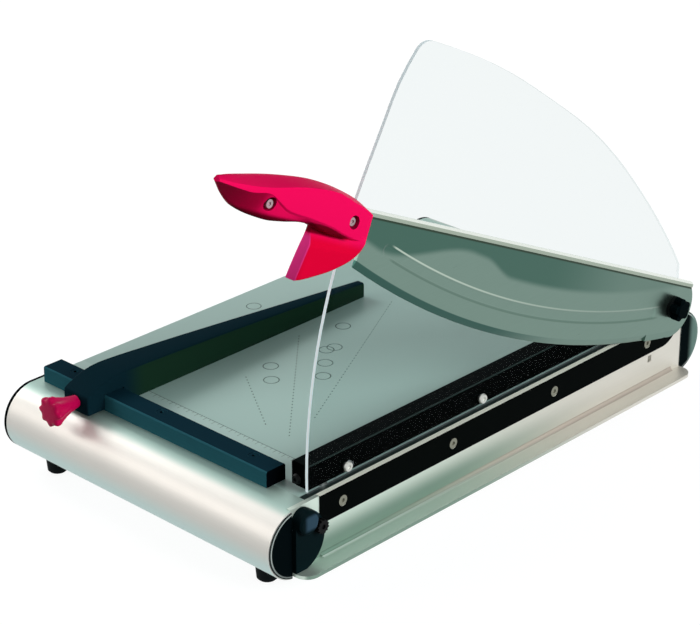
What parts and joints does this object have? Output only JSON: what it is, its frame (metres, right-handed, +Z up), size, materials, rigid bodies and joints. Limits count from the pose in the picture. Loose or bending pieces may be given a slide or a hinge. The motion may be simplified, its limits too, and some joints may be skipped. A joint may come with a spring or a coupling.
{
  "type": "lever paper cutter",
  "caption": "Lever guillotine for paper: round-nosed metal base, hinged curved blade with moulded handle, clear guard on a sprung clamp bar, and a sliding side gauge.",
  "frame": {"origin": "on the desk, midway between the four feet", "axes": "+X across the table towards the blade, +Y towards the pivot at the back, +Z up"},
  "size_m": [0.336, 0.6007, 0.4062],
  "materials": {
    "silver_aluminium": "satin anodised",
    "table_enamel": "smooth grey-green enamel",
    "frame_aluminium": "mill finish",
    "knife_steel": "blackened, ground edge",
    "blade_steel": "ground and polished",
    "spine_steel": "polished",
    "screw_steel": "zinc plated",
    "dark_steel": "black oxide",
    "pivot_steel": "turned",
    "bush_bronze": "turned bronze",
    "black_aluminium": "black anodised",
    "rail_aluminium": "dark anodised",
    "black_plastic": "fine grain",
    "red_plastic": "smooth moulded",
    "clear_acrylic": "polished clear",
    "black_rubber": "matt"
  },
  "bodies": {
    "base": {"front_profile": "silver_aluminium", "rear_profile": "silver_aluminium", "cap_front_left": "black_plastic", "cap_rear_left": "black_plastic", "cap_front_right": "black_plastic", "cap_rear_right": "black_plastic", "table_plate": "table_enamel", "side_wall": "silver_aluminium", "wall_screws": "screw_steel", "knife_beam": "frame_aluminium", "left_beam": "frame_aluminium", "cross_ribs": "frame_aluminium", "lower_knife": "knife_steel", "knife_screws": "screw_steel", "stop_rail": "rail_aluminium", "stop_rail_screws": "dark_steel", "lever_stop": "black_plastic", "lever_stop_screw": "dark_steel", "foot_front_left": "black_rubber", "foot_front_right": "black_rubber", "foot_rear_left": "black_rubber", "foot_rear_right": "black_rubber", "foot_screws": "screw_steel", "guide_pins": "pivot_steel", "pivot_block": "frame_aluminium", "pivot_block_screws": "screw_steel", "pivot_bolt": "pivot_steel", "pivot_spacer": "pivot_steel", "spring_washer": "pivot_steel", "star_nut": "black_plastic", "lift_springs": "pivot_steel"},
    "clamp": {"clamp_bar": "black_aluminium", "clamp_pad": "black_rubber", "clamp_end_screw": "dark_steel", "guard": "clear_acrylic", "guard_screws": "screw_steel"},
    "lever": {"blade": "blade_steel", "blade_spine": "spine_steel", "blade_bush": "bush_bronze", "handle_outer": "red_plastic", "handle_inner": "red_plastic", "handle_screws": "screw_steel"},
    "gauge": {"gauge_arm": "black_plastic"},
    "knob": {"clamp_stud": "screw_steel", "clamp_knob": "red_plastic"}
  },
  "joints": [
    {"name": "lever_hinge", "type": "hinge", "parent": "base", "child": "lever", "pos_m": [0.158, 0.2245, 0.085], "axis": [-1, 0, 0], "range_deg": [-25, 20]},
    {"name": "clamp_slide", "type": "slide", "parent": "base", "child": "clamp", "axis": [0, 0, 1], "range_m": [-0.0029, 0], "stiffness_N_per_m": 1500, "springref_m": 0.009, "deforming": ["lift_springs"]},
    {"name": "gauge_slide", "type": "slide", "parent": "base", "child": "gauge", "axis": [1, 0, 0], "range_m": [-0.045, 0.185]},
    {"name": "knob_turn", "type": "hinge", "parent": "gauge", "child": "knob", "pos_m": [-0.08223, -0.2525, 0.084], "axis": [0, -1, 0], "range_deg": [-360, 360]}
  ]
}
